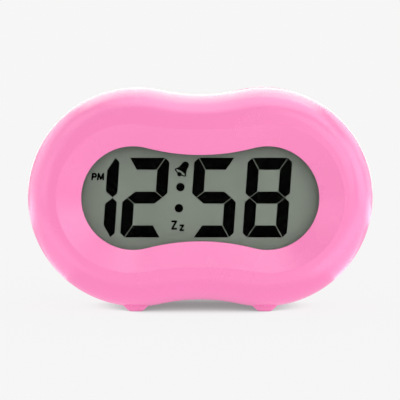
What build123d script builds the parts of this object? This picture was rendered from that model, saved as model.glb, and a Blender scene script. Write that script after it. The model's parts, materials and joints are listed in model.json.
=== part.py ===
from build123d import *
import os
from math import atan2, cos, degrees, radians, sin

# Bedside alarm clock. X runs to the right, Z up from the table, and the display faces -Y.
# Heights inside the case are measured from the middle of the display, in mm.

# Case outline: two round lobes joined by a shallow waist
case_depth = 45.0
front_depth = 22.0
lobe_spread = 23.7
lobe_radius = 41.3
waist_dip = 2.6
wall = 2.0
front_round = 9.5
rear_round = 9.0
seam_chamfer = 0.3
tongue_height = 1.6
tongue_gap = 0.15

# Feet moulded under the lobes
foot_drop = 1.7
foot_spread = 24.3
foot_flat = 4.8
foot_flare = 2.9
foot_corner = 2.2
foot_round = 0.8
foot_root = 1.0
foot_front_inset = 6.5
foot_rear_inset = 6.5

# Dished frame and window
frame_width = 13.6
ring_shift = 2.2
ring_dip = 2.0
dish_width = 8.25
window_shift = 1.4
window_dip = 3.25
dish_depth = 3.6
crease_round = 0.6
window_wall = 1.5

# Display stack, front to rear
lens_lap = 2.0
lens_thickness = 1.5
glass_margin = 1.5
glass_thickness = 1.1
contact_ledge = 2.5
segment_thickness = 0.1
reflector_thickness = 0.2
guide_thickness = 2.2
guide_inset = 2.6
strip_thickness = 2.0
strip_gap = 0.2
lamp_width = 1.6
lamp_height = 3.2
lamp_depth = 2.0
lamp_spread = 10.0
nest_gap = 0.3
nest_wall = 1.2
nest_relief = 0.2

# Seven-bar digits, drawn for one window size and stretched with the window
drawn_window_radius = 19.45
drawn_window_half_width = 44.55
digit_height = 30.0
digit_width = 16.7
bar_thickness = 4.5
bar_gap = 0.12
bar_corner = 1.7
digit_slant = 0.07
digit_rights = (-31.3, -12.5, 13.5, 33.6)
digit_bars = ("bc", "abged", "afgcd", "abcdefg")
colon_radius = 1.6
colon_x = -7.75
colon_spread = 4.0

# Main board
board_thickness = 1.6
board_side_gap = 1.5
board_edge = 0.4
board_round = 3.0
post_radius = 2.6
post_spread = 36.0
post_merge = 0.4
chip_radius = 6.0
chip_height = 2.0
chip_x = -12.0
chip_z = -6.0
crystal_radius = 1.5
crystal_length = 8.0
crystal_round = 0.4
crystal_x = 8.0
crystal_z = -14.0
capacitor_radius = 2.5
capacitor_length = 7.0
capacitor_round = 0.5
capacitor_x = 22.0
capacitor_z = -14.0
part_gap = 0.1

# Screws
screw_gap = 0.05
board_screw_radius = 1.2
board_screw_length = 6.0
board_head_radius = 2.3
board_head_height = 1.5
case_screw_radius = 1.5
case_screw_length = 16.0
case_head_radius = 2.7
case_head_height = 2.0
case_screw_grip = 6.0
case_boss_radius = 3.3
case_boss_gap = 0.7
case_boss_rise = 14.0
head_room = 0.4
cross_length = 2.4
cross_width = 0.6
cross_depth = 0.8
hole_spare = 1.0

# Snooze button on the crown of the right lobe
snooze_length = 24.0
snooze_depth = 15.0
snooze_proud = 0.25
snooze_round = 0.35
snooze_gap = 0.3
snooze_lap = 1.5
snooze_travel = 0.9
flange_thickness = 1.2
stem_radius = 1.6
snooze_rib = 3.0
snooze_switch_width = 6.0
snooze_switch_depth = 4.5
snooze_switch_height = 6.0
snooze_switch_drop = 14.0

# Switch actuators
actuator_radius = 1.5
actuator_rise = 1.2
actuator_sunk = 1.0
actuator_gap = 0.3

# Rear controls in a shallow recess
panel_length = 78.0
panel_height = 16.0
panel_z = 15.0
panel_recess = 1.6
key_width = 8.0
key_height = 6.0
key_round = 1.5
key_edge = 0.7
key_proud = 1.3
key_gap = 0.3
key_lap = 0.9
key_travel = 0.6
key_pitch = 12.0
key_first_x = -22.5
key_switch_size = 6.0
key_switch_height = 3.5
key_names = ("time_button", "alarm_button", "hour_button", "minute_button")
key_board_margin = 1.2
key_post_x = 34.5

# Alarm slider
slider_x = 24.3
slider_travel = 4.0
slider_length = 6.0
slider_height = 4.6
slider_round = 1.15
slider_thickness = 1.1
slider_lift = 0.15
slider_rib = 0.4
slider_rib_pitch = 1.4
lever_size = 2.4
lever_sunk = 1.6
lever_gap = 0.3
slide_switch_length = 9.6
slide_switch_height = 5.6
slide_switch_depth = 4.0

# Battery bay and door
cell_radius = 5.25
cell_length = 44.5
nub_radius = 1.9
nub_length = 0.8
cell_edge = 0.5
cell_gap = 0.4
bay_wall = 1.5
bay_z = -12.6
contact_thickness = 0.4
contact_width = 8.0
leaf_bow = 4.6
leaf_width = 5.0
leaf_span = 8.0
contact_gap = 0.1
door_lap = 1.7
door_thickness = 1.8
door_gap = 0.3
door_inset = 0.1
door_seat_gap = 0.1
door_round = 2.0
door_room = 0.6
hinge_pin_radius = 0.6
hinge_pin_length = 0.9
hinge_gap = 0.1
latch_width = 12.0
latch_length = 6.0
latch_slit = 0.8
latch_rib = 0.5
latch_rib_length = 6.0
latch_rib_drop = 2.0
scoop_radius = 8.0
scoop_depth = 1.2
scoop_rise = 3.0

# Buzzer behind the sound holes
buzzer_x = 41.5
buzzer_radius = 10.0
buzzer_thickness = 0.3
ceramic_radius = 7.0
ceramic_thickness = 0.25
buzzer_ledge = 1.0
buzzer_ledge_width = 1.0
buzzer_rim_wall = 1.0
buzzer_rim_height = 2.2
buzzer_gap = 0.2
sound_hole_radius = 0.9
sound_ring_radius = 4.2
sound_ring_count = 6

# Ribbon cable between the boards
ribbon_width = 10.0
ribbon_thickness = 0.3
ribbon_x = -14.0
ribbon_main_z = 22.0
ribbon_key_z = 13.0
ribbon_lead = 3.0

# Places along the depth
front_y = -case_depth / 2
rear_y = case_depth / 2
parting_y = front_y + front_depth
centre_z = foot_drop + lobe_radius
lens_y = front_y + dish_depth + window_wall
glass_y = lens_y + lens_thickness
segment_y = glass_y + glass_thickness
rear_glass_y = segment_y + segment_thickness
reflector_y = rear_glass_y + glass_thickness
guide_y = reflector_y + reflector_thickness
board_y = guide_y + guide_thickness
board_rear_y = board_y + board_thickness
recess_y = rear_y - panel_recess
panel_inner_y = recess_y - wall
key_flange_y = panel_inner_y - key_gap
key_foot_y = key_flange_y - flange_thickness
key_switch_y = key_foot_y - actuator_rise
key_board_rear_y = key_switch_y - key_switch_height
key_board_y = key_board_rear_y - board_thickness
door_face_y = rear_y - door_inset
door_seat_y = door_face_y - door_thickness
ledge_y = door_seat_y - door_seat_gap
bay_floor_y = ledge_y - door_room - 2 * cell_radius - cell_gap
cell_y = bay_floor_y + cell_gap + cell_radius
buzzer_y = rear_y - wall - buzzer_ledge
buzzer_rim_y = rear_y - wall - buzzer_rim_height

# Sizes that follow from the outlines
ring_radius = lobe_radius - frame_width
ring_spread = lobe_spread + ring_shift
window_radius = ring_radius - dish_width
window_spread = lobe_spread + window_shift
digit_stretch_z = window_radius / drawn_window_radius
digit_stretch_x = (window_spread + window_radius) / drawn_window_half_width
lens_radius = window_radius + lens_lap
glass_half_width = window_spread + lens_radius
glass_half_height = lens_radius + glass_margin
rear_glass_half_height = glass_half_height - contact_ledge
nest_half_width = glass_half_width + nest_gap
nest_half_height = glass_half_height + nest_gap
guide_half_width = glass_half_width - guide_inset
strip_z = rear_glass_half_height + strip_gap + strip_thickness / 2
post_z = nest_half_height + nest_wall + post_radius - post_merge
board_half_width = nest_half_width + nest_wall - board_side_gap
board_half_height = post_z + post_radius + board_edge
case_boss_x = nest_half_width + nest_wall + case_boss_gap + case_boss_radius
key_board_length = 2 * (key_post_x + post_radius + key_board_margin)
key_board_height = panel_height
bay_length = cell_length + leaf_bow + 2 * contact_thickness + 3 * contact_gap
bay_height = 4 * cell_radius + 3 * cell_gap
cell_spread = cell_radius + cell_gap / 2
door_length = bay_length + 2 * door_lap
door_height = bay_height + 2 * door_lap
door_low_z = bay_z - door_height / 2
hinge_y = (door_face_y + door_seat_y) / 2
hinge_z = door_low_z + door_thickness / 2
snooze_x = lobe_spread
snooze_switch_top = lobe_radius - snooze_switch_drop
actuator_y = board_rear_y + snooze_switch_depth / 2
actuator_top_z = snooze_switch_top + actuator_rise
flange_top_radius = lobe_radius - wall - snooze_gap
flange_low_radius = flange_top_radius - flange_thickness
lever_top_y = panel_inner_y - lever_gap


def depth_plane(y):
    """Upright plane at depth y that faces the front, with its origin at the display's middle."""
    return Plane(origin=(0, y, centre_z), x_dir=(1, 0, 0), z_dir=(0, -1, 0))


def slab(sketch, start, end):
    """A front-view sketch given thickness between two depths."""
    rear = max(start, end)
    return extrude(depth_plane(rear) * sketch, abs(end - start), dir=(0, -1, 0))


def pin(x, z, radius, start, end):
    return slab(Pos(x, z) * Circle(radius), start, end)


def block(x, z, width, height, start, end):
    return slab(Pos(x, z) * Rectangle(width, height), start, end)


def peanut(spread, radius, dip):
    """Two lobes of one radius, joined by hollow arcs that dip below the crowns."""
    waist = radius - dip
    hollow = spread**2 / (2 * dip) - radius + dip / 2
    lean = degrees(atan2(spread, waist + hollow))
    reach_x = spread - radius * sin(radians(lean))
    reach_z = radius * cos(radians(lean))
    sweep = 90 + lean
    return make_face(
        [
            CenterArc((spread, 0), radius, -sweep, sweep),
            CenterArc((spread, 0), radius, 0, sweep),
            ThreePointArc((reach_x, reach_z), (0, waist), (-reach_x, reach_z)),
            CenterArc((-spread, 0), radius, 180 - sweep, sweep),
            CenterArc((-spread, 0), radius, 180, sweep),
            ThreePointArc((-reach_x, -reach_z), (0, -waist), (reach_x, -reach_z)),
        ]
    )


def case_outline(inset=0.0):
    return peanut(lobe_spread, lobe_radius - inset, waist_dip)


def lens_outline():
    return peanut(window_spread, lens_radius, window_dip)


def window_outline():
    return peanut(window_spread, window_radius, window_dip)


def ring_outline():
    return peanut(ring_spread, ring_radius, ring_dip)


def foot_bars(start, end):
    """The halves of both feet that one shell carries, square where the shells meet."""
    half_root = foot_flat / 2 + foot_flare
    low = -lobe_radius - foot_drop
    high = -lobe_radius + foot_root
    bars = []
    for side in (-1, 1):
        section = make_face(
            Polyline(
                (side * foot_spread - half_root, high),
                (side * foot_spread - foot_flat / 2, low),
                (side * foot_spread + foot_flat / 2, low),
                (side * foot_spread + half_root, high),
                close=True,
            )
        )
        section = fillet(section.vertices().sort_by(Axis.Y)[:2], foot_corner)
        bar = slab(section, start, end)
        ends = bar.faces().sort_by(Axis.Y)
        outer_end = ends[0] if start < parting_y else ends[-1]
        bars.append(fillet(outer_end.edges().sort_by(Axis.Z)[:-1], foot_round))
    return bars


def snooze_prism(grow):
    """Upright column with the snooze button's outline, grown all round."""
    outline = SlotOverall(snooze_length + 2 * grow, snooze_depth + 2 * grow)
    low = centre_z + flange_low_radius - flange_thickness - snooze_lap
    height = lobe_radius + snooze_proud + wall - (low - centre_z)
    return extrude(Pos(snooze_x, parting_y, low) * outline, height)


def lobe_rod(radius):
    """Round rod along the depth, centred on the right lobe."""
    return pin(snooze_x, 0, radius, front_y, rear_y)


def case_boss_places():
    return [(sx * case_boss_x, sz * case_boss_rise) for sx in (-1, 1) for sz in (-1, 1)]


def board_post_places():
    return [(sx * post_spread, sz * post_z) for sx in (-1, 1) for sz in (-1, 1)]


def screw(x, z, seat, facing, head, shank):
    """Cross-head screw: head and shank are (radius, length), and facing is the head's side."""
    top = seat + facing * head[1]
    solid = pin(x, z, head[0], seat, top) + pin(x, z, shank[0], seat - facing * shank[1], seat)
    cross = Rectangle(cross_length, cross_width) + Rectangle(cross_width, cross_length)
    return solid - slab(Pos(x, z) * cross, top - facing * cross_depth, top)


def dish():
    """Hollow of the frame: a funnel that narrows from the ring to the window."""
    mouth = depth_plane(front_y) * ring_outline()
    throat = depth_plane(front_y + dish_depth) * window_outline()
    return loft([mouth, throat], ruled=True)


def front_case():
    shell = slab(case_outline(), front_y, parting_y)
    shell = fillet(shell.faces().sort_by(Axis.Y)[0].edges(), front_round)
    shell = chamfer(shell.faces().sort_by(Axis.Y)[-1].edges(), seam_chamfer)
    hollow = slab(case_outline(wall), front_y + wall, parting_y)
    hollow = fillet(hollow.faces().sort_by(Axis.Y)[0].edges(), front_round - wall)
    shell -= hollow - slab(ring_outline(), front_y + wall, lens_y)
    rebate = slab(case_outline(wall / 2), parting_y - tongue_height - tongue_gap, parting_y)
    shell -= rebate
    nest = Rectangle(2 * (nest_half_width + nest_wall), 2 * (nest_half_height + nest_wall))
    nest -= Rectangle(2 * nest_half_width, 2 * nest_half_height)
    ribs = slab(nest, front_y + wall, board_y - nest_relief)
    posts = [pin(x, z, post_radius, front_y + wall, board_y) for x, z in board_post_places()]
    bosses = [pin(x, z, case_boss_radius, front_y + wall, parting_y) for x, z in case_boss_places()]
    shell += [ribs] + posts + bosses
    shell -= dish()
    shell -= slab(window_outline(), front_y + dish_depth / 2, lens_y)
    crease = shell.faces().sort_by(Axis.Y)[0].inner_wires()[0].edges()
    shell = fillet(crease, crease_round)
    shell += foot_bars(front_y + foot_front_inset, parting_y)
    for x, z in board_post_places():
        hole_radius = board_screw_radius + screw_gap
        shell -= pin(x, z, hole_radius, board_rear_y - board_screw_length - hole_spare, board_y)
    for x, z in case_boss_places():
        hole_radius = case_screw_radius + screw_gap
        deep = parting_y + case_screw_grip - case_screw_length - hole_spare
        shell -= pin(x, z, hole_radius, deep, parting_y)
    return shell - snooze_prism(snooze_gap)


def rear_case():
    shell = slab(case_outline(), parting_y, rear_y)
    shell = fillet(shell.faces().sort_by(Axis.Y)[-1].edges(), rear_round)
    shell = chamfer(shell.faces().sort_by(Axis.Y)[0].edges(), seam_chamfer)
    hollow = slab(case_outline(wall), parting_y, rear_y - wall)
    hollow = fillet(hollow.faces().sort_by(Axis.Y)[-1].edges(), rear_round - wall)
    shell -= hollow
    tongue = case_outline(wall / 2 + tongue_gap) - case_outline(wall)
    shell += slab(tongue, parting_y - tongue_height, parting_y + tongue_height)
    shell += rear_inner_forms()
    shell += foot_bars(parting_y, rear_y - foot_rear_inset)
    shell -= rear_cuts()
    return shell - snooze_prism(snooze_gap)


def rear_inner_forms():
    """What the rear shell carries inside: screw bosses, panel pad, posts, bay and buzzer rim."""
    bosses = [pin(x, z, case_boss_radius + wall, parting_y, rear_y - wall) for x, z in case_boss_places()]
    pad_outline = SlotOverall(panel_length + 2 * wall, panel_height + 2 * wall)
    pad = slab(Pos(0, panel_z) * pad_outline, panel_inner_y, rear_y - wall / 2)
    posts = [pin(side * key_post_x, panel_z, post_radius, key_board_rear_y, recess_y) for side in (-1, 1)]
    frame_size = (door_length + 2 * wall, door_height + 2 * wall)
    door_frame = block(0, bay_z, *frame_size, ledge_y - wall, rear_y - wall / 2)
    box_size = (bay_length + 2 * bay_wall, bay_height + 2 * bay_wall)
    bay_box = block(0, bay_z, *box_size, bay_floor_y - bay_wall, ledge_y)
    rim_radius = buzzer_radius + buzzer_gap + buzzer_rim_wall
    rim = pin(buzzer_x, 0, rim_radius, buzzer_rim_y, rear_y - wall / 2)
    return bosses + [pad, door_frame, bay_box, rim] + posts


def rear_cuts():
    """What is cut from the rear shell: screw wells, control recess, bay, door seat and sound holes."""
    cuts = []
    for x, z in case_boss_places():
        seat = parting_y + case_screw_grip
        cuts.append(pin(x, z, case_screw_radius + screw_gap, parting_y, seat))
        cuts.append(pin(x, z, case_head_radius + head_room, seat, rear_y))
    cuts.append(slab(Pos(0, panel_z) * SlotOverall(panel_length, panel_height), recess_y, rear_y))
    for x in key_places():
        opening = RectangleRounded(key_width + 2 * key_gap, key_height + 2 * key_gap, key_round + key_gap)
        cuts.append(slab(Pos(x, panel_z) * opening, panel_inner_y, recess_y))
    slot_x = slider_x + slider_travel / 2
    slot_length = lever_size + slider_travel + 2 * lever_gap
    cuts.append(block(slot_x, panel_z, slot_length, lever_size + 2 * lever_gap, panel_inner_y, recess_y))
    for side in (-1, 1):
        hole_radius = board_screw_radius + screw_gap
        depth = key_board_y + board_screw_length
        cuts.append(pin(side * key_post_x, panel_z, hole_radius, key_board_rear_y, depth))
    cuts.append(block(0, bay_z, bay_length, bay_height, bay_floor_y, rear_y))
    seat_size = (door_length + 2 * door_gap, door_height + 2 * door_gap)
    seat_outline = RectangleRounded(*seat_size, door_round + door_gap)
    cuts.append(slab(Pos(0, bay_z) * seat_outline, ledge_y, rear_y))
    cuts.append(block(0, hinge_z, seat_size[0], door_thickness + 2 * door_gap, ledge_y, rear_y))
    cuts.append(hinge_rod(hinge_pin_radius + hinge_gap, hinge_pin_length + door_gap))
    scoop_z = bay_z + door_height / 2 + scoop_rise - scoop_radius
    cuts.append(pin(0, scoop_z, scoop_radius, rear_y - scoop_depth, rear_y))
    ring = sound_ring_places()
    cuts += [pin(x, z, sound_hole_radius, buzzer_y, rear_y) for x, z in ring]
    cuts.append(pin(buzzer_x, 0, buzzer_radius - buzzer_ledge_width, buzzer_rim_y, rear_y - wall))
    cuts.append(pin(buzzer_x, 0, buzzer_radius + buzzer_gap, buzzer_rim_y, buzzer_y))
    return cuts


def sound_ring_places():
    turns = [radians(360 / sound_ring_count * step) for step in range(sound_ring_count)]
    ring = [(buzzer_x + sound_ring_radius * cos(turn), sound_ring_radius * sin(turn)) for turn in turns]
    return [(buzzer_x, 0)] + ring


def display_lens():
    return slab(lens_outline(), lens_y, glass_y)


def lcd_front_glass():
    return block(0, 0, 2 * glass_half_width, 2 * glass_half_height, glass_y, segment_y)


def lcd_rear_glass():
    return block(0, 0, 2 * glass_half_width, 2 * rear_glass_half_height, rear_glass_y, reflector_y)


def reflector_sheet():
    return block(0, 0, 2 * glass_half_width, 2 * rear_glass_half_height, reflector_y, guide_y)


def light_guide():
    return block(0, 0, 2 * guide_half_width, 2 * rear_glass_half_height, guide_y, board_y)


def backlight_lamps():
    lamp_x = guide_half_width + lamp_width / 2
    start = board_y - lamp_depth
    return [block(lamp_x, side * lamp_spread, lamp_width, lamp_height, start, board_y) for side in (-1, 1)]


def contact_strips():
    length = 2 * guide_half_width
    return [block(0, side * strip_z, length, strip_thickness, segment_y, board_y) for side in (-1, 1)]


def bar_outline(bar):
    """One bar of an upright digit, about the digit's middle."""
    half_width = digit_width / 2
    half_height = digit_height / 2
    inner_x = half_width - bar_thickness
    inner_z = half_height - bar_thickness
    half_bar = bar_thickness / 2
    top = [
        (bar_corner + bar_gap - half_width, half_height),
        (half_width - bar_corner - bar_gap, half_height),
        (inner_x - bar_gap, inner_z),
        (bar_gap - inner_x, inner_z),
    ]
    upper_right = [
        (half_width - bar_corner + bar_gap, half_height - bar_gap),
        (half_width, half_height - bar_corner),
        (half_width, bar_corner),
        (half_width - bar_corner, bar_gap),
        (inner_x + bar_gap, half_bar + bar_gap),
        (inner_x + bar_gap, inner_z - bar_gap),
    ]
    middle = [
        (bar_corner + bar_gap - half_width, 0),
        (bar_gap - inner_x, half_bar),
        (inner_x - bar_gap, half_bar),
        (half_width - bar_corner - bar_gap, 0),
        (inner_x - bar_gap, -half_bar),
        (bar_gap - inner_x, -half_bar),
    ]
    flips = {"a": (1, 1), "d": (1, -1), "b": (1, 1), "c": (1, -1), "f": (-1, 1), "e": (-1, -1), "g": (1, 1)}
    source = {"a": top, "d": top, "g": middle}.get(bar, upper_right)
    flip_x, flip_z = flips[bar]
    return [(flip_x * x, flip_z * z) for x, z in source]


def lcd_segments():
    solids = []
    for right, bars in zip(digit_rights, digit_bars):
        middle = right - digit_width / 2
        for bar in bars:
            points = [(middle + x + digit_slant * z, z) for x, z in bar_outline(bar)]
            stretched = [(digit_stretch_x * x, digit_stretch_z * z) for x, z in points]
            solids.append(slab(make_face(Polyline(*stretched, close=True)), segment_y, rear_glass_y))
    for side in (-1, 1):
        x = digit_stretch_x * (colon_x + digit_slant * side * colon_spread)
        z = digit_stretch_z * side * colon_spread
        solids.append(pin(x, z, digit_stretch_z * colon_radius, segment_y, rear_glass_y))
    return solids


def main_board():
    outline = RectangleRounded(2 * board_half_width, 2 * board_half_height, board_round)
    board = slab(outline, board_y, board_rear_y)
    for x, z in board_post_places():
        board -= pin(x, z, board_screw_radius + screw_gap, board_y, board_rear_y)
    return board


def board_screws():
    head = (board_head_radius, board_head_height)
    shank = (board_screw_radius, board_screw_length)
    return [screw(x, z, board_rear_y, 1, head, shank) for x, z in board_post_places()]


def clock_chip():
    """Sealed chip under a low dome of resin."""
    top_y = board_rear_y + chip_height
    dome_radius = (chip_radius**2 + chip_height**2) / (2 * chip_height)
    rim_angle = degrees(atan2(dome_radius - chip_height, chip_radius))
    section = make_face(
        [
            Line((chip_x, board_rear_y), (chip_x + chip_radius, board_rear_y)),
            CenterArc((chip_x, top_y - dome_radius), dome_radius, rim_angle, 90 - rim_angle),
            Line((chip_x, top_y), (chip_x, board_rear_y)),
        ]
    )
    return Pos(0, 0, centre_z + chip_z) * revolve(section, Axis((chip_x, 0, 0), (0, 1, 0)))


def quartz_crystal():
    y = board_rear_y + crystal_radius + part_gap
    can = Pos(crystal_x, y, centre_z + crystal_z) * Rot(0, 90, 0) * Cylinder(crystal_radius, crystal_length)
    return fillet(can.edges(), crystal_round)


def capacitor():
    can = pin(capacitor_x, capacitor_z, capacitor_radius, board_rear_y, board_rear_y + capacitor_length)
    return fillet(can.faces().sort_by(Axis.Y)[-1].edges(), capacitor_round)


def snooze_button():
    cap = snooze_prism(0) & lobe_rod(lobe_radius + snooze_proud) - lobe_rod(flange_low_radius)
    cap = fillet(cap.faces().sort_by(Axis.Z)[-1].edges(), snooze_round)
    band = lobe_rod(flange_top_radius) - lobe_rod(flange_low_radius)
    flange = snooze_prism(snooze_gap + snooze_lap) & band
    stem_low = centre_z + actuator_top_z
    stem_height = flange_low_radius + flange_thickness / 2 - actuator_top_z
    stem = Pos(snooze_x, actuator_y, stem_low + stem_height / 2) * Cylinder(stem_radius, stem_height)
    rib_height = snooze_rib + flange_thickness / 2
    rib_z = centre_z + flange_low_radius - snooze_rib + rib_height / 2
    rib = Box(2 * stem_radius, abs(parting_y - actuator_y), rib_height)
    return cap + flange + stem + Pos(snooze_x, (parting_y + actuator_y) / 2, rib_z) * rib


def snooze_switch():
    size = (snooze_switch_width, snooze_switch_depth, snooze_switch_height)
    middle_z = centre_z + snooze_switch_top - snooze_switch_height / 2
    body = Pos(snooze_x, actuator_y, middle_z) * Box(*size)
    depth = actuator_sunk + snooze_travel + actuator_gap
    well_z = centre_z + snooze_switch_top - depth / 2
    return body - Pos(snooze_x, actuator_y, well_z) * Cylinder(actuator_radius + actuator_gap, depth)


def snooze_actuator():
    length = actuator_rise + actuator_sunk
    z = centre_z + actuator_top_z - length / 2
    return Pos(snooze_x, actuator_y, z) * Cylinder(actuator_radius, length)


def key_places():
    return [key_first_x + key_pitch * step for step in range(len(key_names))]


def key_cap(x):
    face = recess_y + key_proud
    cap = slab(Pos(x, panel_z) * RectangleRounded(key_width, key_height, key_round), key_foot_y, face)
    cap = fillet(cap.faces().sort_by(Axis.Y)[-1].edges(), key_edge)
    lap = key_gap + key_lap
    flange = RectangleRounded(key_width + 2 * lap, key_height + 2 * lap, key_round + lap)
    return cap + slab(Pos(x, panel_z) * flange, key_foot_y, key_flange_y)


def key_actuator(x):
    return pin(x, panel_z, actuator_radius, key_switch_y - actuator_sunk, key_foot_y)


def key_switches():
    depth = actuator_sunk + key_travel + actuator_gap
    solids = []
    for x in key_places():
        body = block(x, panel_z, key_switch_size, key_switch_size, key_board_rear_y, key_switch_y)
        well = pin(x, panel_z, actuator_radius + actuator_gap, key_switch_y - depth, key_switch_y)
        solids.append(body - well)
    return solids


def key_board():
    outline = RectangleRounded(key_board_length, key_board_height, board_round)
    board = slab(Pos(0, panel_z) * outline, key_board_y, key_board_rear_y)
    hole_radius = board_screw_radius + screw_gap
    for side in (-1, 1):
        board -= pin(side * key_post_x, panel_z, hole_radius, key_board_y, key_board_rear_y)
    return board


def key_board_screws():
    head = (board_head_radius, board_head_height)
    shank = (board_screw_radius, board_screw_length - hole_spare)
    return [screw(side * key_post_x, panel_z, key_board_y, -1, head, shank) for side in (-1, 1)]


def slide_switch():
    x = slider_x + slider_travel / 2
    top = key_board_rear_y + slide_switch_depth
    body = block(x, panel_z, slide_switch_length, slide_switch_height, key_board_rear_y, top)
    slot_length = lever_size + slider_travel + 2 * lever_gap
    slot_depth = lever_sunk + lever_gap
    return body - block(x, panel_z, slot_length, lever_size + 2 * lever_gap, top - slot_depth, top)


def slide_lever():
    top = key_board_rear_y + slide_switch_depth
    return block(slider_x, panel_z, lever_size, lever_size, top - lever_sunk, lever_top_y)


def alarm_slider():
    foot = recess_y + slider_lift
    face = foot + slider_thickness
    outline = RectangleRounded(slider_length, slider_height, slider_round)
    pad = slab(Pos(slider_x, panel_z) * outline, foot, face)
    neck = block(slider_x, panel_z, lever_size, lever_size, lever_top_y, foot)
    for step in (-1, 0, 1):
        groove_x = slider_x + step * slider_rib_pitch
        pad -= block(groove_x, panel_z, slider_rib, slider_height, face - slider_rib, face)
    return pad + neck


def cell(side):
    """One cell along X, with its nub towards the given side."""
    body = Cylinder(cell_radius, cell_length - nub_length)
    body = fillet(body.edges(), cell_edge)
    nub = Pos(0, 0, cell_length / 2) * Cylinder(nub_radius, nub_length)
    nub_end = bay_length / 2 - contact_thickness - contact_gap
    middle_x = side * (nub_end - nub_length - (cell_length - nub_length) / 2)
    place = Pos(middle_x, cell_y, centre_z + bay_z + side * cell_spread)
    return place * Rot(0, side * 90, 0) * (body + nub)


def battery_cells():
    return [cell(side) for side in (-1, 1)]


def contact_plates():
    """A bridge at the left end of the bay, and two single terminals at the right."""
    end_x = (bay_length - contact_thickness) / 2
    rear = bay_floor_y + contact_width
    bridge = block(-end_x, bay_z, contact_thickness, 2 * cell_spread + contact_width, bay_floor_y, rear)
    plates = [bridge]
    for side in (-1, 1):
        z = bay_z + side * cell_spread
        plates.append(block(end_x, z, contact_thickness, contact_width, bay_floor_y, rear))
    return plates


def contact_leaves():
    """Bowed springs that press on the flat end of each cell."""
    leaves = []
    for side in (-1, 1):
        root = -side * (bay_length / 2 - contact_thickness)
        tip = root + side * leaf_bow
        inner = tip - side * contact_thickness
        low = cell_y - leaf_span / 2
        high = cell_y + leaf_span / 2
        outer_low = low + contact_thickness
        outer_high = high - contact_thickness
        section = make_face(
            [
                ThreePointArc((root, low), (tip, cell_y), (root, high)),
                Line((root, high), (root, outer_high)),
                ThreePointArc((root, outer_high), (inner, cell_y), (root, outer_low)),
                Line((root, outer_low), (root, low)),
            ]
        )
        base = centre_z + bay_z + side * cell_spread - leaf_width / 2
        leaves.append(extrude(Pos(0, 0, base) * section, leaf_width))
    return leaves


def hinge_rod(radius, overhang):
    length = door_length + 2 * overhang
    return Pos(0, hinge_y, centre_z + hinge_z) * Rot(0, 90, 0) * Cylinder(radius, length)


def battery_door():
    """Cover with a round lower edge that turns on two end pins, and a sprung tab on top."""
    top_z = door_low_z + door_height
    outline = RectangleRounded(door_length, door_height, door_round)
    cover = slab(Pos(0, bay_z) * outline, door_seat_y, door_face_y)
    cover &= block(0, (hinge_z + top_z) / 2, door_length, top_z - hinge_z, door_seat_y, door_face_y)
    cover += hinge_rod(door_thickness / 2, 0) + hinge_rod(hinge_pin_radius, hinge_pin_length)
    for side in (-1, 1):
        slit = (side * latch_width / 2, top_z - latch_length / 2, latch_slit, latch_length)
        cover -= block(*slit, door_seat_y, door_face_y)
    rib_z = top_z - latch_rib_drop
    return cover - block(0, rib_z, latch_rib_length, latch_rib, door_face_y - latch_rib, door_face_y)


def case_screws():
    head = (case_head_radius, case_head_height)
    shank = (case_screw_radius, case_screw_length)
    return [screw(x, z, parting_y + case_screw_grip, 1, head, shank) for x, z in case_boss_places()]


def buzzer_plate():
    return pin(buzzer_x, 0, buzzer_radius, buzzer_y - buzzer_thickness, buzzer_y)


def buzzer_ceramic():
    rear = buzzer_y - buzzer_thickness
    return pin(buzzer_x, 0, ceramic_radius, rear - ceramic_thickness, rear)


def ribbon_cable():
    """Flat cable that leaves both boards square and steps down between them."""
    start = (board_rear_y, centre_z + ribbon_main_z)
    end = (key_board_y, centre_z + ribbon_key_z)
    middle_y = (start[0] + end[0]) / 2
    reach = (middle_y - start[0] - ribbon_lead) / 2
    points = [
        (ribbon_x, start[0], start[1]),
        (ribbon_x, start[0] + ribbon_lead + reach, start[1]),
        (ribbon_x, end[0] - ribbon_lead - reach, end[1]),
        (ribbon_x, end[0], end[1]),
    ]
    path = FilletPolyline(*points, radius=reach)
    end_plane = Plane(origin=points[0], x_dir=(1, 0, 0), z_dir=(0, 1, 0))
    return sweep(end_plane * Rectangle(ribbon_width, ribbon_thickness), path=path)


def save(name, shape):
    solids = shape if isinstance(shape, list) else [shape]
    node = Compound(children=solids) if len(solids) > 1 else solids[0]
    node.label = name
    export_step(node, os.path.join("parts", name + ".step"))


makers = (
    front_case,
    rear_case,
    display_lens,
    lcd_front_glass,
    lcd_segments,
    lcd_rear_glass,
    reflector_sheet,
    light_guide,
    backlight_lamps,
    contact_strips,
    main_board,
    board_screws,
    clock_chip,
    quartz_crystal,
    capacitor,
    snooze_button,
    snooze_switch,
    snooze_actuator,
    key_board,
    key_board_screws,
    key_switches,
    slide_switch,
    slide_lever,
    alarm_slider,
    battery_cells,
    contact_plates,
    contact_leaves,
    battery_door,
    case_screws,
    buzzer_plate,
    buzzer_ceramic,
    ribbon_cable,
)

os.makedirs("parts", exist_ok=True)
for maker in makers:
    save(maker.__name__, maker())
for key_name, key_x in zip(key_names, key_places()):
    save(key_name, key_cap(key_x))
    save(key_name.replace("button", "actuator"), key_actuator(key_x))
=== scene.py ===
# %% [markdown]
# # A pink bedside alarm clock
# The walls, buttons, boards and screws of this clock come from a CAD model, each in its own
# place. This lesson dresses them. It gives every piece its finish, adds the small marks on the
# display, and sets up a white studio with the camera almost straight in front.
# The solids are never moved: their place is in their meshes.

# %% Load the clock
import json
import math

import bpy
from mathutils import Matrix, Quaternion, Vector

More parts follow.
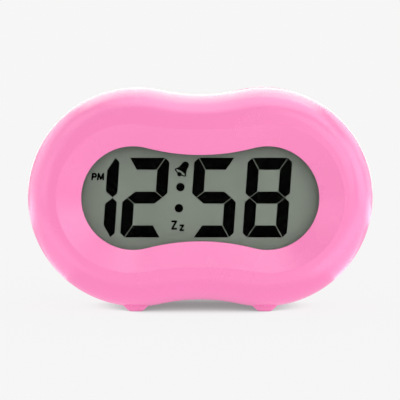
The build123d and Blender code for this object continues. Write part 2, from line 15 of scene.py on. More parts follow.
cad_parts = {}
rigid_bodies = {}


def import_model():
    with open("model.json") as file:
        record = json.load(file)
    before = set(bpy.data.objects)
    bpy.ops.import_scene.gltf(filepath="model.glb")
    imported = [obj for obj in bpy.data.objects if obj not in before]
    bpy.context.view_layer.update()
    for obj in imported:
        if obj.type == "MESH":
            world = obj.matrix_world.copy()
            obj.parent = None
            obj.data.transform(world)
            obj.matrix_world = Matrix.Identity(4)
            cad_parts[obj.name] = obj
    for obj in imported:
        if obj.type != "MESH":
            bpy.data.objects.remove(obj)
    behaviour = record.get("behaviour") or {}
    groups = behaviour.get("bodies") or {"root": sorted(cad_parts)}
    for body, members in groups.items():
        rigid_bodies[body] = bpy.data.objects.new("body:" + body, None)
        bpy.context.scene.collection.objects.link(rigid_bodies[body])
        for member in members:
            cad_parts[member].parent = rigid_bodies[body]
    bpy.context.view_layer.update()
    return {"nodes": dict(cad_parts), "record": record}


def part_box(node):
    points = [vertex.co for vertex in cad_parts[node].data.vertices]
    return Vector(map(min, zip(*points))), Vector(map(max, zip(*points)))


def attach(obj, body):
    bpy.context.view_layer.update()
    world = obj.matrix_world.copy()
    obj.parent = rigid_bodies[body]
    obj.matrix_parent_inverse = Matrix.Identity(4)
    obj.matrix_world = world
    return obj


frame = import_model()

mm = 0.001
nodes = frame["nodes"]
print("solids loaded:", len(nodes))

# %% [markdown]
# ## A short way to write shader sums
# A finish is a tree of small nodes, and wiring each by hand hides the idea behind it. Here a
# Wire stands for a node's output and understands +, - and *, so that a mask can be written as a
# sum. A Finish is one material, and its node method adds any other node. The alternative is to
# build the trees in the shader editor, but then the numbers can't be read in one place.

# %% Wires
class Wire:
    """A node's output that takes part in Python sums."""

    def __init__(self, finish, socket):
        self.finish = finish
        self.socket = socket

    def sum(self, operation, *values):
        return self.finish.node("ShaderNodeMath", {"operation": operation}, dict(enumerate(values)))

    def __add__(self, other):
        return self.sum("ADD", self, other)

    def __radd__(self, other):
        return self.sum("ADD", other, self)

    def __sub__(self, other):
        return self.sum("SUBTRACT", self, other)

    def __rsub__(self, other):
        return self.sum("SUBTRACT", other, self)

    def __mul__(self, other):
        return self.sum("MULTIPLY", self, other)

    def __rmul__(self, other):
        return self.sum("MULTIPLY", other, self)

    def __abs__(self):
        return self.sum("ABSOLUTE", self)


print("wires understand +, -, * and abs")

# %% Finishes
class Finish:
    """One material on a Principled shader."""

    def __init__(self, name):
        self.material = bpy.data.materials.new(name)
        self.material.use_nodes = True
        self.tree = self.material.node_tree
        self.shader = self.tree.nodes["Principled BSDF"]

    def node(self, kind, settings, sockets, output=0):
        """Adds a node: its settings first, then the values or wires of its sockets."""
        made = self.tree.nodes.new(kind)
        for key, value in settings.items():
            setattr(made, key, value)
        for key, value in sockets.items():
            self.fill(made.inputs[key], value)
        return Wire(self, made.outputs[output])

    def fill(self, socket, value):
        """Links a wire to a socket, or types a plain value into it."""
        if isinstance(value, Wire):
            self.tree.links.new(value.socket, socket)
        else:
            socket.default_value = value

    def surface(self, **values):
        """Sets the shader's sockets: base_color stands for Base Color, and so on."""
        for key, value in values.items():
            name = key.replace("_", " ").title().replace("Ior", "IOR")
            self.fill(self.shader.inputs[name], value)
        return self.material

    def place(self):
        return self.node("ShaderNodeTexCoord", {}, {}, "Object")

    def along(self, axis):
        """How far a point lies along one axis, in metres."""
        return self.node("ShaderNodeSeparateXYZ", {}, {"Vector": self.place()}, axis)

    def grain(self, size, detail=2.0, stretch=(1, 1, 1)):
        """Noise whose lumps are about size millimetres across."""
        place = self.node("ShaderNodeMapping", {}, {"Vector": self.place(), "Scale": stretch})
        sockets = {"Vector": place, "Scale": 1 / (size * mm), "Detail": detail}
        return self.node("ShaderNodeTexNoise", {}, sockets)

    def step(self, value, low, high):
        """A soft step from 0 at low to 1 at high."""
        settings = {"interpolation_type": "SMOOTHSTEP"}
        sockets = {"Value": value, "From Min": low, "From Max": high}
        return self.node("ShaderNodeMapRange", settings, sockets)

    def mix(self, share, first, second):
        """A colour between two: first where share is 0, second where it is 1."""
        settings = {"data_type": "RGBA"}
        return self.node("ShaderNodeMix", settings, {0: share, 6: first, 7: second}, 2)

    def bump(self, height, depth):
        """A normal from a height of 0 to 1 that stands for depth millimetres."""
        sockets = {"Strength": 1.0, "Distance": depth * mm, "Height": height}
        return self.node("ShaderNodeBump", {}, sockets)


finishes = {}
print("ready for finishes")

# %% [markdown]
# ## Moulded plastic
# The case is one pink plastic, moulded in a polished tool with a faint satin: broad highlights
# with soft edges and hardly any texture. Three noises do the work. Two coarse ones shift the
# colour and the roughness a little, as pigment and handling do, and a fine one lifts the
# surface by a few thousandths of a millimetre. The same recipe, with other numbers, makes the
# white keys and the black switches, so it is a function.

# %% Plastic finishes
def moulded(slot, colour, shade, rough, grain_size, grain_depth):
    """A plastic between two near colours; grain size and depth in millimetres."""
    finish = Finish(slot)
    cloud = finish.grain(size=14, detail=3.0)
    fine = finish.grain(size=grain_size)
    handled = finish.step(finish.grain(size=28), 0.45, 0.7)
    base = finish.mix(0.6 * cloud + 0.3 * handled, (*colour, 1), (*shade, 1))
    roughness = rough + 0.04 * (cloud - 0.5) + 0.03 * handled + 0.03 * fine
    normal = finish.bump(fine, grain_depth)
    finishes[slot] = finish.surface(base_color=base, roughness=roughness, normal=normal, ior=1.5)


# slot, colour, shade, roughness, grain size, grain depth
moulded("case_pink", (0.81, 0.191, 0.436), (0.795, 0.184, 0.423), 0.24, 0.35, 0.001)
moulded("key_white", (0.68, 0.66, 0.67), (0.62, 0.59, 0.61), 0.36, 0.3, 0.003)
moulded("switch_black", (0.03, 0.03, 0.033), (0.045, 0.044, 0.046), 0.45, 0.2, 0.006)
moulded("actuator_black", (0.05, 0.05, 0.055), (0.07, 0.07, 0.072), 0.4, 0.2, 0.004)
print("plastics:", sorted(finishes))

# %% [markdown]
# ## The display's layers
# A liquid crystal display is a sandwich: a clear lens, a glass plate, the dark bars, a second
# glass plate and a grey-green film that throws daylight back. Real glass would bend the light
# and cost many samples, and at this size nothing visible is won, so the clear layers are mostly
# see-through with a weak gloss. The film carries the colour, with a very fine sparkle, and the
# shade towards the window's edge comes by itself from the depth of the stack.

# %% Display finishes
def clear(slot, colour, share, rough):
    """A see-through layer; share is how much of it shows, with faint smears from wiping."""
    finish = Finish(slot)
    smear = finish.step(finish.grain(size=9, detail=4.0, stretch=(1, 1, 0.4)), 0.45, 0.75)
    finishes[slot] = finish.surface(
        base_color=(*colour, 1), roughness=rough + 0.05 * smear, alpha=share + 0.004 * smear, ior=1.49
    )
    finish.material.surface_render_method = "BLENDED"


def film(slot, colour, shade):
    """A matt film with a sparkle of a fifth of a millimetre."""
    finish = Finish(slot)
    sparkle = finish.grain(size=0.18, detail=1.0)
    drift = finish.grain(size=30, detail=1.0)
    base = finish.mix(0.35 * sparkle + 0.4 * drift, (*colour, 1), (*shade, 1))
    normal = finish.bump(sparkle, 0.004)
    finishes[slot] = finish.surface(base_color=base, roughness=0.55 + 0.15 * sparkle, normal=normal)


def crystal(slot, colour, shade):
    """The dark bars, without gloss because they lie inside the glass."""
    finish = Finish(slot)
    drift = finish.grain(size=4)
    base = finish.mix(drift, (*colour, 1), (*shade, 1))
    finishes[slot] = finish.surface(base_color=base, roughness=0.5 + 0.2 * drift, specular_ior_level=0.0)


clear("lens_clear", (0.004, 0.005, 0.004), share=0.012, rough=0.06)
clear("display_glass", (0.01, 0.013, 0.009), share=0.008, rough=0.08)
film("display_back", (0.24, 0.283, 0.225), (0.223, 0.263, 0.211))
film("reflector_grey", (0.30, 0.33, 0.28), (0.27, 0.30, 0.25))
crystal("segment_black", (0.0006, 0.0008, 0.0006), (0.0012, 0.0014, 0.0012))
print("display layers done, finishes so far:", len(finishes))

# %% [markdown]
# ## Behind the display
# The light guide is milky plastic with a print of tiny dots that let light out evenly. The
# lamps are white with a yellow patch of phosphor, and the contact strips are rubber with
# hundreds of thin black layers. All three are patterns in plain steps along one axis or in
# space, so no picture is needed.

# %% Guide, lamp and strip finishes
dots_per_metre = 900.0
guide = Finish("guide_white")
dots = guide.node(
    "ShaderNodeTexVoronoi", {}, {"Vector": guide.place(), "Scale": dots_per_metre, "Randomness": 0.0}
)
dot = 1 - guide.step(dots, 0.25, 0.4)
milk = guide.mix(0.5 * dot, (0.8, 0.83, 0.8, 1), (0.93, 0.94, 0.93, 1))
finishes["guide_white"] = guide.surface(
    base_color=milk, roughness=0.25 + 0.3 * dot, subsurface_weight=0.1
)

lamp = Finish("lamp_white")
patch = lamp.step(lamp.grain(size=0.6, detail=1.0), 0.4, 0.55)
glow = lamp.mix(patch, (0.9, 0.9, 0.86, 1), (0.85, 0.7, 0.18, 1))
finishes["lamp_white"] = lamp.surface(base_color=glow, roughness=0.3 + 0.2 * patch)

layer_pitch = 0.2 * mm
strip = Finish("strip_rubber")
phase = strip.along("X") * (2 * math.pi / layer_pitch)
layers = strip.node("ShaderNodeMath", {"operation": "SINE"}, {0: phase})
layer = strip.step(layers, -0.3, 0.3)
zebra = strip.mix(layer, (0.03, 0.03, 0.032, 1), (0.30, 0.30, 0.29, 1))
finishes["strip_rubber"] = strip.surface(base_color=zebra, roughness=0.6 + 0.15 * layer)
print("guide, lamp and strip done")

# %% [markdown]
# ## Circuit boards
# A board is green lacquer over copper tracks. The tracks show as slightly lighter lines in a
# net, and bare pads as small dull gold squares. The borders between Voronoi cells run straight
# from one joint to the next, which is simpler than drawing tracks one by one. The pads are the
# middles of other cells, measured by the Chebychev distance, which makes squares of circles.

# %% Board finish
track_cells_per_metre = 260.0
pad_cells_per_metre = 190.0
board = Finish("board_green")
borders = board.node(
    "ShaderNodeTexVoronoi",
    {"feature": "DISTANCE_TO_EDGE"},
    {"Vector": board.place(), "Scale": track_cells_per_metre, "Randomness": 0.85},
)
track = 1 - board.step(borders, 0.05, 0.12)
middles = board.node(
    "ShaderNodeTexVoronoi",
    {"distance": "CHEBYCHEV"},
    {"Vector": board.place(), "Scale": pad_cells_per_metre},
)
pad = 1 - board.step(middles, 0.10, 0.13)
lacquer = board.mix(track, (0.012, 0.11, 0.04, 1), (0.03, 0.19, 0.075, 1))
gilt = board.mix(pad, lacquer, (0.6, 0.45, 0.2, 1))
finishes["board_green"] = board.surface(
    base_color=gilt, roughness=0.35 + 0.1 * track, metallic=pad, normal=board.bump(track + pad, 0.02)
)
print("boards done")

# %% [markdown]
# ## Metals
# Screws, spring contacts, the crystal's can and the buzzer disc are bare metal. Bare metal is
# full metallic with its own tint, and what tells one from another is the way it was made:
# turned, drawn, rolled or stamped. Noise stretched along one axis gives those fine lines, and a
# cloudy noise dulls the metal where hands and air have been.

# %% Metal finishes
def metal(slot, colour, dull, rough, stretch, line_depth):
    """Bare metal with fine lines; the depth of the lines is in millimetres."""
    finish = Finish(slot)
    lines = finish.grain(size=0.25, detail=3.0, stretch=stretch)
    cloud = finish.step(finish.grain(size=3.5, detail=4.0), 0.45, 0.75)
    base = finish.mix(0.7 * cloud, (*colour, 1), (*dull, 1))
    roughness = rough + 0.12 * lines + 0.15 * cloud
    normal = finish.bump(lines, line_depth)
    finishes[slot] = finish.surface(base_color=base, roughness=roughness, metallic=1.0, normal=normal)
    print("metal:", slot)


# slot, colour, dulled colour, roughness, stretch of the lines, depth of the lines
metal("screw_steel", (0.62, 0.62, 0.62), (0.48, 0.47, 0.45), 0.22, (1, 0.2, 1), 0.004)
metal("can_steel", (0.72, 0.72, 0.73), (0.6, 0.59, 0.57), 0.2, (0.1, 1, 1), 0.003)
metal("contact_nickel", (0.72, 0.69, 0.62), (0.55, 0.52, 0.45), 0.24, (1, 1, 0.1), 0.003)
metal("buzzer_brass", (0.78, 0.57, 0.26), (0.55, 0.38, 0.17), 0.26, (1, 1, 0.15), 0.003)

# %% [markdown]
# ## Small parts on the boards
# The clock chip lies under a blob of black resin, wavy from its pouring. The capacitor has a
# dark shrink sleeve with a pale stripe that marks one lead, and a bare top. The buzzer's ceramic
# is silvered in the middle with a bare rim. The resin is one noise. The other two are plain
# looks kept apart by masks, and each mask is a distance in space.

# %% Resin finish
resin = Finish("resin_black")
wave = resin.grain(size=2.5)
pour = resin.mix(wave, (0.006, 0.006, 0.007, 1), (0.014, 0.014, 0.016, 1))
finishes["resin_black"] = resin.surface(
    base_color=pour, roughness=0.14 + 0.12 * wave, normal=resin.bump(wave, 0.03)
)
print("resin done")

# %% Sleeve and ceramic finishes
def middle(node):
    low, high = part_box(node)
    return (low + high) / 2


soft_edge = 0.1 * mm
stripe_offset = 1.7 * mm
bare_top_depth = 0.3 * mm
sleeve = Finish("sleeve_dark")
from_axis = sleeve.along("X") - middle("capacitor").x
mark = sleeve.step(from_axis, stripe_offset - soft_edge, stripe_offset + soft_edge)
from_top = sleeve.along("Y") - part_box("capacitor")[1].y
top = sleeve.step(from_top, -bare_top_depth - soft_edge, -bare_top_depth + soft_edge)
jacket = sleeve.mix(mark, (0.012, 0.02, 0.06, 1), (0.5, 0.52, 0.55, 1))
capped = sleeve.mix(top, jacket, (0.6, 0.6, 0.61, 1))
finishes["sleeve_dark"] = sleeve.surface(
    base_color=capped, roughness=0.25 + 0.1 * sleeve.grain(size=1.2), metallic=top
)

silver_radius = 6.3 * mm
ceramic = Finish("buzzer_ceramic")
centre = middle("buzzer_ceramic")
from_centre = ceramic.node(
    "ShaderNodeVectorMath", {"operation": "DISTANCE"}, {0: ceramic.place(), 1: tuple(centre)}, "Value"
)
silver = 1 - ceramic.step(from_centre, silver_radius - soft_edge, silver_radius + soft_edge)
fired = ceramic.mix(silver, (0.78, 0.74, 0.64, 1), (0.72, 0.72, 0.70, 1))
finishes["buzzer_ceramic"] = ceramic.surface(
    base_color=fired, metallic=0.9 * silver, roughness=0.45 + 0.15 * ceramic.grain(size=0.5, detail=3.0)
)
print("sleeve and ceramic done; ceramic centre, mm:", [round(value / mm, 1) for value in centre])

# %% [markdown]
# ## Cells and ribbon
# A cell is a steel can in a printed jacket: here a plain slate blue with a copper-coloured band
# at the end with the nub. The two cells lie head to tail, so the band's side depends on the
# height. The ribbon is a row of round wires side by side, with the first one red. A sine along
# its width gives the ribs, and also a painted shade: the grey darkens into the grooves.

# %% Cell finish
band_start = 12.6 * mm
jacket_end = 22.95 * mm
cell = Finish("cell_jacket")
low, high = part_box("battery_cells")
upper_row = cell.step(cell.along("Z") - (low.z + high.z) / 2, -soft_edge, soft_edge)
towards_nub = cell.along("X") * (2 * upper_row - 1)
band = cell.step(towards_nub, band_start - soft_edge, band_start + soft_edge)
bare = cell.step(abs(cell.along("X")), jacket_end - 1.5 * soft_edge, jacket_end + 1.5 * soft_edge)
printed = cell.mix(band, (0.045, 0.07, 0.13, 1), (0.62, 0.33, 0.16, 1))
shell = cell.mix(bare, printed, (0.66, 0.66, 0.65, 1))
finishes["cell_jacket"] = cell.surface(
    base_color=shell, metallic=0.4 + 0.6 * bare, roughness=0.28 + 0.1 * cell.grain(size=2.0, detail=4.0)
)
print("cells from", round(low.x / mm, 1), "to", round(high.x / mm, 1), "mm")

# %% Ribbon finish
wire_pitch = 1.0 * mm
ribbon = Finish("ribbon_grey")
across = ribbon.along("X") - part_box("ribbon_cable")[0].x
phase = across * (2 * math.pi / wire_pitch)
ribs = ribbon.node("ShaderNodeMath", {"operation": "SINE"}, {0: phase})
rib_and_shade = ribbon.step(ribs, -1, 1)
first = 1 - ribbon.step(across, 0.95 * wire_pitch, 1.05 * wire_pitch)
# painted shade: each wire's grey is lighter on its crest and darker in the grooves between wires
wire = ribbon.mix(rib_and_shade, (0.3, 0.31, 0.32, 1), (0.52, 0.53, 0.54, 1))
marked = ribbon.mix(first, wire, (0.55, 0.05, 0.05, 1))
finishes["ribbon_grey"] = ribbon.surface(
    base_color=marked, roughness=0.4 + 0.1 * rib_and_shade, normal=ribbon.bump(rib_and_shade, 0.15)
)
print("ribbon done, finishes in all:", len(finishes))

# %% [markdown]
# ## Putting the finishes on
# The record that comes with the solids names a material slot for each piece. Looking the finish
# up by that name keeps the two lists together, and a slot without a finish stops the script.

# %% Assign the finishes
for part in frame["record"]["subparts"]:
    mesh = nodes[part["node"]].data
    mesh.materials.clear()
    mesh.materials.append(finishes[part["material_slot"]])

# %% [markdown]
# ## Marks on the display
# Beside the digits the display shows PM, a bell, and two letters that stand for snooze. On the
# real display they are patches of the same dark crystal, about a tenth of a millimetre thick. A
# font would be quicker, but its strokes come out too thin here, so the marks are put together
# from four kinds of flat shape: a pill for a stroke, a disc, a ring and the bell's body. They
# are shaped from primitives and welded by a boolean union, so that a mark is one closed piece.
# Every mark rides on the case, like the glass that it lies in. Sizes are in millimetres from
# the display's middle.

# %% The crystal's place
bars_low, bars_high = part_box("lcd_segments")
display_z = (bars_low.z + bars_high.z) / 2
crystal_y = (bars_low.y + bars_high.y) / 2
crystal_thickness = 0.9 * (bars_high.y - bars_low.y)
print("crystal at y =", round(crystal_y / mm, 2), "mm,", round(crystal_thickness / mm, 3), "mm thick")

# %% Flat shapes
def only(piece):
    """Selects one piece and nothing else."""
    bpy.ops.object.select_all(action="DESELECT")
    piece.select_set(True)
    bpy.context.view_layer.objects.active = piece
    return piece


def settle(piece, x, z, turn=0.0):
    """Turns a flat piece by turn degrees, moves it to x, z and keeps both in its mesh."""
    only(piece)
    piece.rotation_euler = (0, 0, math.radians(turn))
    piece.location = (x * mm, z * mm, 0)
    bpy.ops.object.transform_apply(location=True, rotation=True, scale=True)
    return piece


def disc(x, z, half_width, half_height):
    bpy.ops.object.select_all(action="DESELECT")
    bpy.ops.mesh.primitive_circle_add(vertices=40, radius=mm, fill_type="NGON")
    piece = bpy.context.object
    piece.scale = (half_width, half_height, 1)
    return settle(piece, x, z)


def ring(x, z, half_width, half_height, pen):
    """A disc whose middle is inset by the pen's width and taken out."""
    piece = disc(x, z, half_width, half_height)
    bpy.ops.object.mode_set(mode="EDIT")
    bpy.ops.mesh.select_all(action="SELECT")
    bpy.ops.mesh.inset(thickness=pen * mm)
    bpy.ops.mesh.delete(type="FACE")
    bpy.ops.object.mode_set(mode="OBJECT")
    return piece


def pill(start, end, pen):
    """A stroke with round ends: a plane whose corners are bevelled by just under half the pen."""
    run = Vector(end) - Vector(start)
    bpy.ops.object.select_all(action="DESELECT")
    bpy.ops.mesh.primitive_plane_add(size=mm)
    piece = bpy.context.object
    piece.scale = (run.length + pen, pen, 1)
    settle(piece, 0, 0)
    bpy.ops.object.mode_set(mode="EDIT")
    bpy.ops.mesh.select_all(action="SELECT")
    bpy.ops.mesh.bevel(affect="VERTICES", offset=0.48 * pen * mm, segments=5)
    bpy.ops.object.mode_set(mode="OBJECT")
    halfway = (Vector(start) + Vector(end)) / 2
    return settle(piece, *halfway, math.degrees(math.atan2(run.y, run.x)))


print("flat shapes:", [shape.__name__ for shape in (disc, ring, pill)])

# %% Welding and laying
def thicken(piece):
    """Gives a flat shape the crystal's thickness, half to each side, with faces outwards."""
    only(piece)
    slab = piece.modifiers.new("thickness", "SOLIDIFY")
    slab.thickness = crystal_thickness
    slab.offset = 0.0
    bpy.ops.object.modifier_apply(modifier=slab.name)
    bpy.ops.object.mode_set(mode="EDIT")
    bpy.ops.mesh.select_all(action="SELECT")
    bpy.ops.mesh.normals_make_consistent(inside=False)
    bpy.ops.object.mode_set(mode="OBJECT")
    return piece


def combine(base, tool, operation):
    """Welds a tool onto the base or cuts it out, and removes the tool."""
    only(base)
    joint = base.modifiers.new("joint", "BOOLEAN")
    joint.operation = operation
    joint.solver = "EXACT"
    joint.object = tool
    bpy.ops.object.modifier_apply(modifier=joint.name)
    bpy.data.objects.remove(tool)
    return base


def lay_mark(name, shapes, x=0.0, z=0.0, turn=0.0):
    """Welds shapes into one mark, leans it, and stands it in the crystal's plane."""
    piece = shapes[0]
    for shape in shapes[1:]:
        combine(piece, shape, "UNION")
    settle(piece, x, z, turn)
    piece.name = name
    piece.rotation_euler = (math.radians(90), 0, 0)
    piece.location = (0, crystal_y, display_z)
    bpy.ops.object.transform_apply(location=True, rotation=True, scale=True)
    piece.data.materials.append(finishes["segment_black"])
    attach(piece, "case")
    print(name, "mm:", [round(size / mm, 2) for size in piece.dimensions])
    return piece


print("ready to weld and lay marks")

# %% Letters
def strokes(points, pen):
    """A pill along each run of a line of points."""
    return [thicken(pill(start, end, pen)) for start, end in zip(points, points[1:])]


def letter_z(left, right, low, high):
    return [(left, high), (right, high), (left, low), (right, low)]


letter_pen = 0.66
snooze_pen = 0.72
small_pen = 0.9 * snooze_pen
stem = strokes([(-40.7, 6.85), (-40.4, 9.0)], letter_pen)
bowl = [thicken(ring(-39.8, 8.38, 0.98, 0.95, letter_pen))]
m_corners = [(-38.55, 6.85), (-38.2, 9.0), (-37.4, 7.0), (-36.45, 9.0), (-36.5, 6.85)]
valley = strokes(m_corners, letter_pen)
large_z = letter_z(left=-10.6, right=-9.05, low=-11.75, high=-8.95)
small_z = letter_z(left=-7.55, right=-6.36, low=-12.28, high=-10.45)
lay_mark("pm_mark_p", stem + bowl)
lay_mark("pm_mark_m", valley)
lay_mark("snooze_mark_large", strokes(large_z, snooze_pen))
lay_mark("snooze_mark_small", strokes(small_z, small_pen))

# %% [markdown]
# ## The bell
# The bell leans to the right, with its mouth drawn as a hollow oval and a round clapper. It is
# drawn upright first, because a leaning shape is hard to judge, and leaned in one go at the end.
# The body is a narrow grid whose rows are widened one by one: a flare below and a dome above.
# The oval is cut out of the body before its rim is welded on, so that the mouth stays open.

# %% Bell body
bell_height = 4.45
dome_start = 3.0
dome_end = bell_height + 0.02
crown_half_width = 1.4
mouth_flare = 1.0
flare_power = 2.2


def bell_half_width(height):
    """Half the body's width; the dome ends just above the body, so the top row keeps some width."""
    if height > dome_start:
        climb = (height - dome_start) / (dome_end - dome_start)
        return crown_half_width * math.sqrt(1 - climb**2)
    return crown_half_width + mouth_flare * (1 - height / dome_start) ** flare_power


bpy.ops.object.select_all(action="DESELECT")
bpy.ops.mesh.primitive_grid_add(x_subdivisions=2, y_subdivisions=24, size=2)
body = bpy.context.object
for vertex in body.data.vertices:
    rise = bell_height * (vertex.co.y + 1) / 2
    vertex.co = (vertex.co.x * bell_half_width(rise) * mm, rise * mm, 0)
print("bell body:", len(body.data.vertices), "points")

# %% Bell mark
mouth = (0, -0.15, 2.5, 0.98)
mouth_pen = 0.46
clapper_z = -1.0
clapper_radius = 0.84
bell_place = (-7.3, 9.65)
bell_lean = -33.0
combine(thicken(body), thicken(disc(*mouth)), "DIFFERENCE")
rim = thicken(ring(*mouth, mouth_pen))
clapper = thicken(disc(0, clapper_z, clapper_radius, clapper_radius))
lay_mark("bell_mark", [body, rim, clapper], *bell_place, bell_lean)

# %% [markdown]
# ## The floor
# The clock stands on pale paper, and its only shadow is a soft dark patch under the belly and
# beside the feet. A lamp that throws so small a shadow would also change the light on the case,
# so here the paper glows by itself and its tone drops where the clock blocks its view. The
# Ambient Occlusion node, asked three times with a tilted normal, tells how open the paper is to
# the left, to the right and towards the front. Between the feet all three count, and elsewhere
# only left and right. The floor is stage and not a piece of the clock.

# %% Floor plane
floor_size = 12.0
bpy.ops.object.select_all(action="DESELECT")
bpy.ops.mesh.primitive_plane_add(size=floor_size, location=(0, 0, 0))
floor = bpy.context.object
floor.name = "floor"
print("floor", floor_size, "m wide")

# %% Floor paper
paper = Finish("floor_paper")


def open_towards(x, y, z, reach):
    """How free the paper's view is within reach along a direction, which needs a link."""
    direction = paper.node("ShaderNodeCombineXYZ", {}, {"X": x, "Y": y, "Z": z})
    settings = {"samples": 16}
    sockets = {"Distance": reach, "Normal": direction}
    return paper.node("ShaderNodeAmbientOcclusion", settings, sockets, "AO")


def grey(tone):
    return (tone, tone, tone, 1)


side_reach = 0.032
front_reach = 0.07
front_share = 1.2
fade_start = 20 * mm
fade_end = 27 * mm
under_range = (0.72, 2.95)
beside_range = (0.66, 1.16)
paper_base = 0.06
shadow_tone = 0.15
glow_tone = 0.86
sides = open_towards(-0.9, -0.22, 0.32, side_reach) + open_towards(0.9, -0.22, 0.32, side_reach)
ahead = open_towards(0, -0.95, 0.3, front_reach)
between_feet = 1 - paper.step(abs(paper.along("X")), fade_start, fade_end)
lit_under = paper.step(sides + front_share * ahead, *under_range)
lit_beside = paper.step(sides, *beside_range)
lit = between_feet * lit_under + (1 - between_feet) * lit_beside
floor.data.materials.append(
    paper.surface(
        base_color=grey(paper_base),
        roughness=1.0,
        specular_ior_level=0.0,
        emission_color=paper.mix(lit, grey(shadow_tone), grey(glow_tone)),
        emission_strength=1.0,
    )
)
print("paper glows from", shadow_tone, "in the shadow to", glow_tone)

# %% [markdown]
# ## The tent and its light
# White cloth all round lights the clock evenly, so the world is one pale tone. A sun with a very
# wide angle stands for the brighter cloth in front, to the right and above, and a card on the
# floor for the light that the paper throws up under the chin. An environment picture could do
# the same, but its parts can't be tuned one by one.

# %% Tent
tent_tone = 0.922
world = bpy.data.worlds.new("tent")
world.use_nodes = True
bpy.context.scene.world = world
tent = world.node_tree.nodes["Background"]
tent.inputs["Color"].default_value = grey(tent_tone)
tent.inputs["Strength"].default_value = 1.0
print("tent brightness:", tent_tone)

# %% Cards
hair = 0.0001


def aim(lamp_object, place, target, lean=0.0):
    """Points a lamp at the target, turned about its own axis by lean degrees."""
    turn = (Vector(target) - Vector(place)).to_track_quat("-Z", "Y")
    lamp_object.location = place
    lamp_object.rotation_euler = (turn @ Quaternion((0, 0, 1), math.radians(lean))).to_euler()


def hang_card(name, brightness, place, target, width, height, lean=0.0):
    """A glowing card of a given brightness, sizes in metres."""
    data = bpy.data.lights.new(name, "AREA")
    data.shape = "RECTANGLE"
    data.size = width
    data.size_y = height
    data.energy = brightness * math.pi * width * height
    card = bpy.data.objects.new(name, data)
    card.visible_camera = False
    bpy.context.scene.collection.objects.link(card)
    aim(card, place, target, lean)
    return card


def lay_card(name, brightness, x, y, width, depth, lift=0.001):
    """A card just above the floor that faces up; a hair of tilt settles which way it turns."""
    return hang_card(name, brightness, (x, y, lift), (x, y - hair, 1), width, depth)


print("ready to hang and lay cards")

# %% Light
cloth_name = "front_cloth"
front_cloth = bpy.data.objects.new(cloth_name, bpy.data.lights.new(cloth_name, "SUN"))
bpy.context.scene.collection.objects.link(front_cloth)
front_cloth.data.energy = 0.5
front_cloth.data.angle = math.radians(70)
aim(front_cloth, (0.5, -0.6, 0.6), (0, 0, 0))
under_card = lay_card("under_card", 0.33, 0, 0, 0.9, 0.9, lift=0.0005)
under_card.visible_glossy = False
print("light:", front_cloth.name, "and", under_card.name)

# %% [markdown]
# ## Cards for the highlights
# What tells glossy plastic from dull is the shape of its highlights. A photographer hangs white
# cards for them. Here the cards show only as gloss: they give the pale edge along the crown, the
# streak on the right shoulder and the soft rims, and light nothing else, which lamps would do. A
# card's place follows from the line of sight, mirrored where it meets the case: from the front
# face it leads back to the camera's side, from the rounded rim to the side, and from the
# outermost edge to behind the clock. The three cards above and behind the crown are a little
# warm, because plain white made its edge look lilac.

# %% Gloss cards
clock_middle = (0, 0, 0.045)
warm_white = (1.0, 0.97, 0.72)
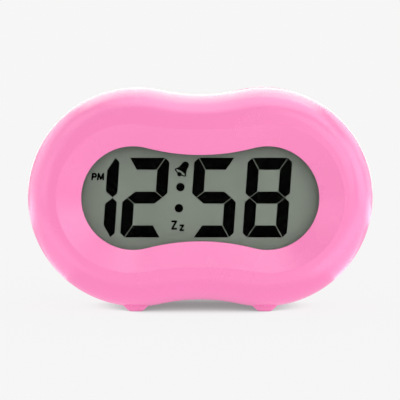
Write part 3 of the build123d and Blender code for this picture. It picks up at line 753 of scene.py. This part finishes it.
# name, brightness, place, what it faces, width, height
crown_cards = [
    hang_card("top_card", 6.2, (0, 0.08, 0.5), (0, 0.08 - hair, 0), 0.7, 0.34),
    hang_card("back_card", 3.8, (0, 0.41, 0.497), clock_middle, 0.72, 0.3),
    hang_card("low_back_card", 2.1, (0, 0.56, 0.2), clock_middle, 0.8, 0.38),
]
upright_cards = [
    hang_card("right_card", 3.6, (0.552, -0.234, 0.12), clock_middle, 0.4, 0.5),
    hang_card("left_card", 1.6, (-0.57, -0.185, 0.1), clock_middle, 0.3, 0.5),
    hang_card("shoulder_strip", 7.0, (0.405, -0.45, 0.29), clock_middle, 0.03, 0.5, lean=-28),
    hang_card("left_rim_card", 1.95, (-0.2, 0.03, 0.055), (0, 0.03, 0.055), 0.12, 0.11),
    hang_card("right_rim_card", 1.8, (0.2, 0.045, 0.055), (0, 0.045, 0.055), 0.12, 0.11),
    hang_card("left_corner_card", 2.6, (-0.49, 0.16, 0.36), clock_middle, 0.54, 0.3),
    hang_card("right_corner_card", 2.7, (0.48, 0.2, 0.36), clock_middle, 0.46, 0.3),
    hang_card("brow_card", 3.2, (0.12, -0.275, 0.57), clock_middle, 0.7, 0.5),
    hang_card("left_brow_card", 2.1, (-0.36, -0.34, 0.4), clock_middle, 0.3, 0.24),
    hang_card("right_cheek_card", 2.6, (0.205, -0.564, 0.06), clock_middle, 0.25, 0.45),
    hang_card("left_cheek_card", 1.9, (-0.405, -0.44, 0.06), clock_middle, 0.3, 0.35),
]
# name, brightness, x, y, width, depth
floor_cards = [
    lay_card("chin_card", 0.9, 0, -0.13, 0.35, 0.14),
    lay_card("left_floor_card", 1.7, -0.53, 0.05, 0.74, 0.4),
    lay_card("right_floor_card", 2.1, 0.53, 0.0, 0.74, 0.5),
    lay_card("left_near_card", 1.15, -0.11, -0.055, 0.1, 0.16),
    lay_card("right_near_card", 1.8, 0.11, -0.0075, 0.1, 0.065),
    lay_card("right_lip_card", 2.4, 0.105, -0.095, 0.11, 0.11),
]
gloss_cards = crown_cards + upright_cards + floor_cards
for card in gloss_cards:
    card.visible_diffuse = False
for card in crown_cards:
    card.data.color = warm_white
print("cards that only show as gloss:", len(gloss_cards))

# %% [markdown]
# ## Camera
# The clock is seen from straight in front and from slightly above, with its outline in the
# middle of a square picture. The lens could be found by trial, but it follows from the scale: at
# the outline's depth one millimetre takes 2.65 of the picture's 400 pixels. The Standard view
# keeps the pink as saturated as it is; a filmic one would grey it.

# %% Camera
picture_width = 400
pixels_per_mm = 2.65
stand_off = 0.6
outline_middle = Vector((-0.0001, -0.013, 0.042))
tilt = math.radians(3.5)
camera_data = bpy.data.cameras.new("camera")
camera = bpy.data.objects.new("camera", camera_data)
bpy.context.scene.collection.objects.link(camera)
camera_data.sensor_width = 36.0
camera_data.lens = pixels_per_mm * stand_off / mm * camera_data.sensor_width / picture_width
camera_data.clip_end = 50.0
camera.location = outline_middle + stand_off * Vector((0, -math.cos(tilt), math.sin(tilt)))
camera.rotation_euler = (outline_middle - camera.location).to_track_quat("-Z", "Y").to_euler()
bpy.context.scene.camera = camera
bpy.context.scene.view_settings.view_transform = "Standard"
print("lens, mm:", round(camera_data.lens, 1))
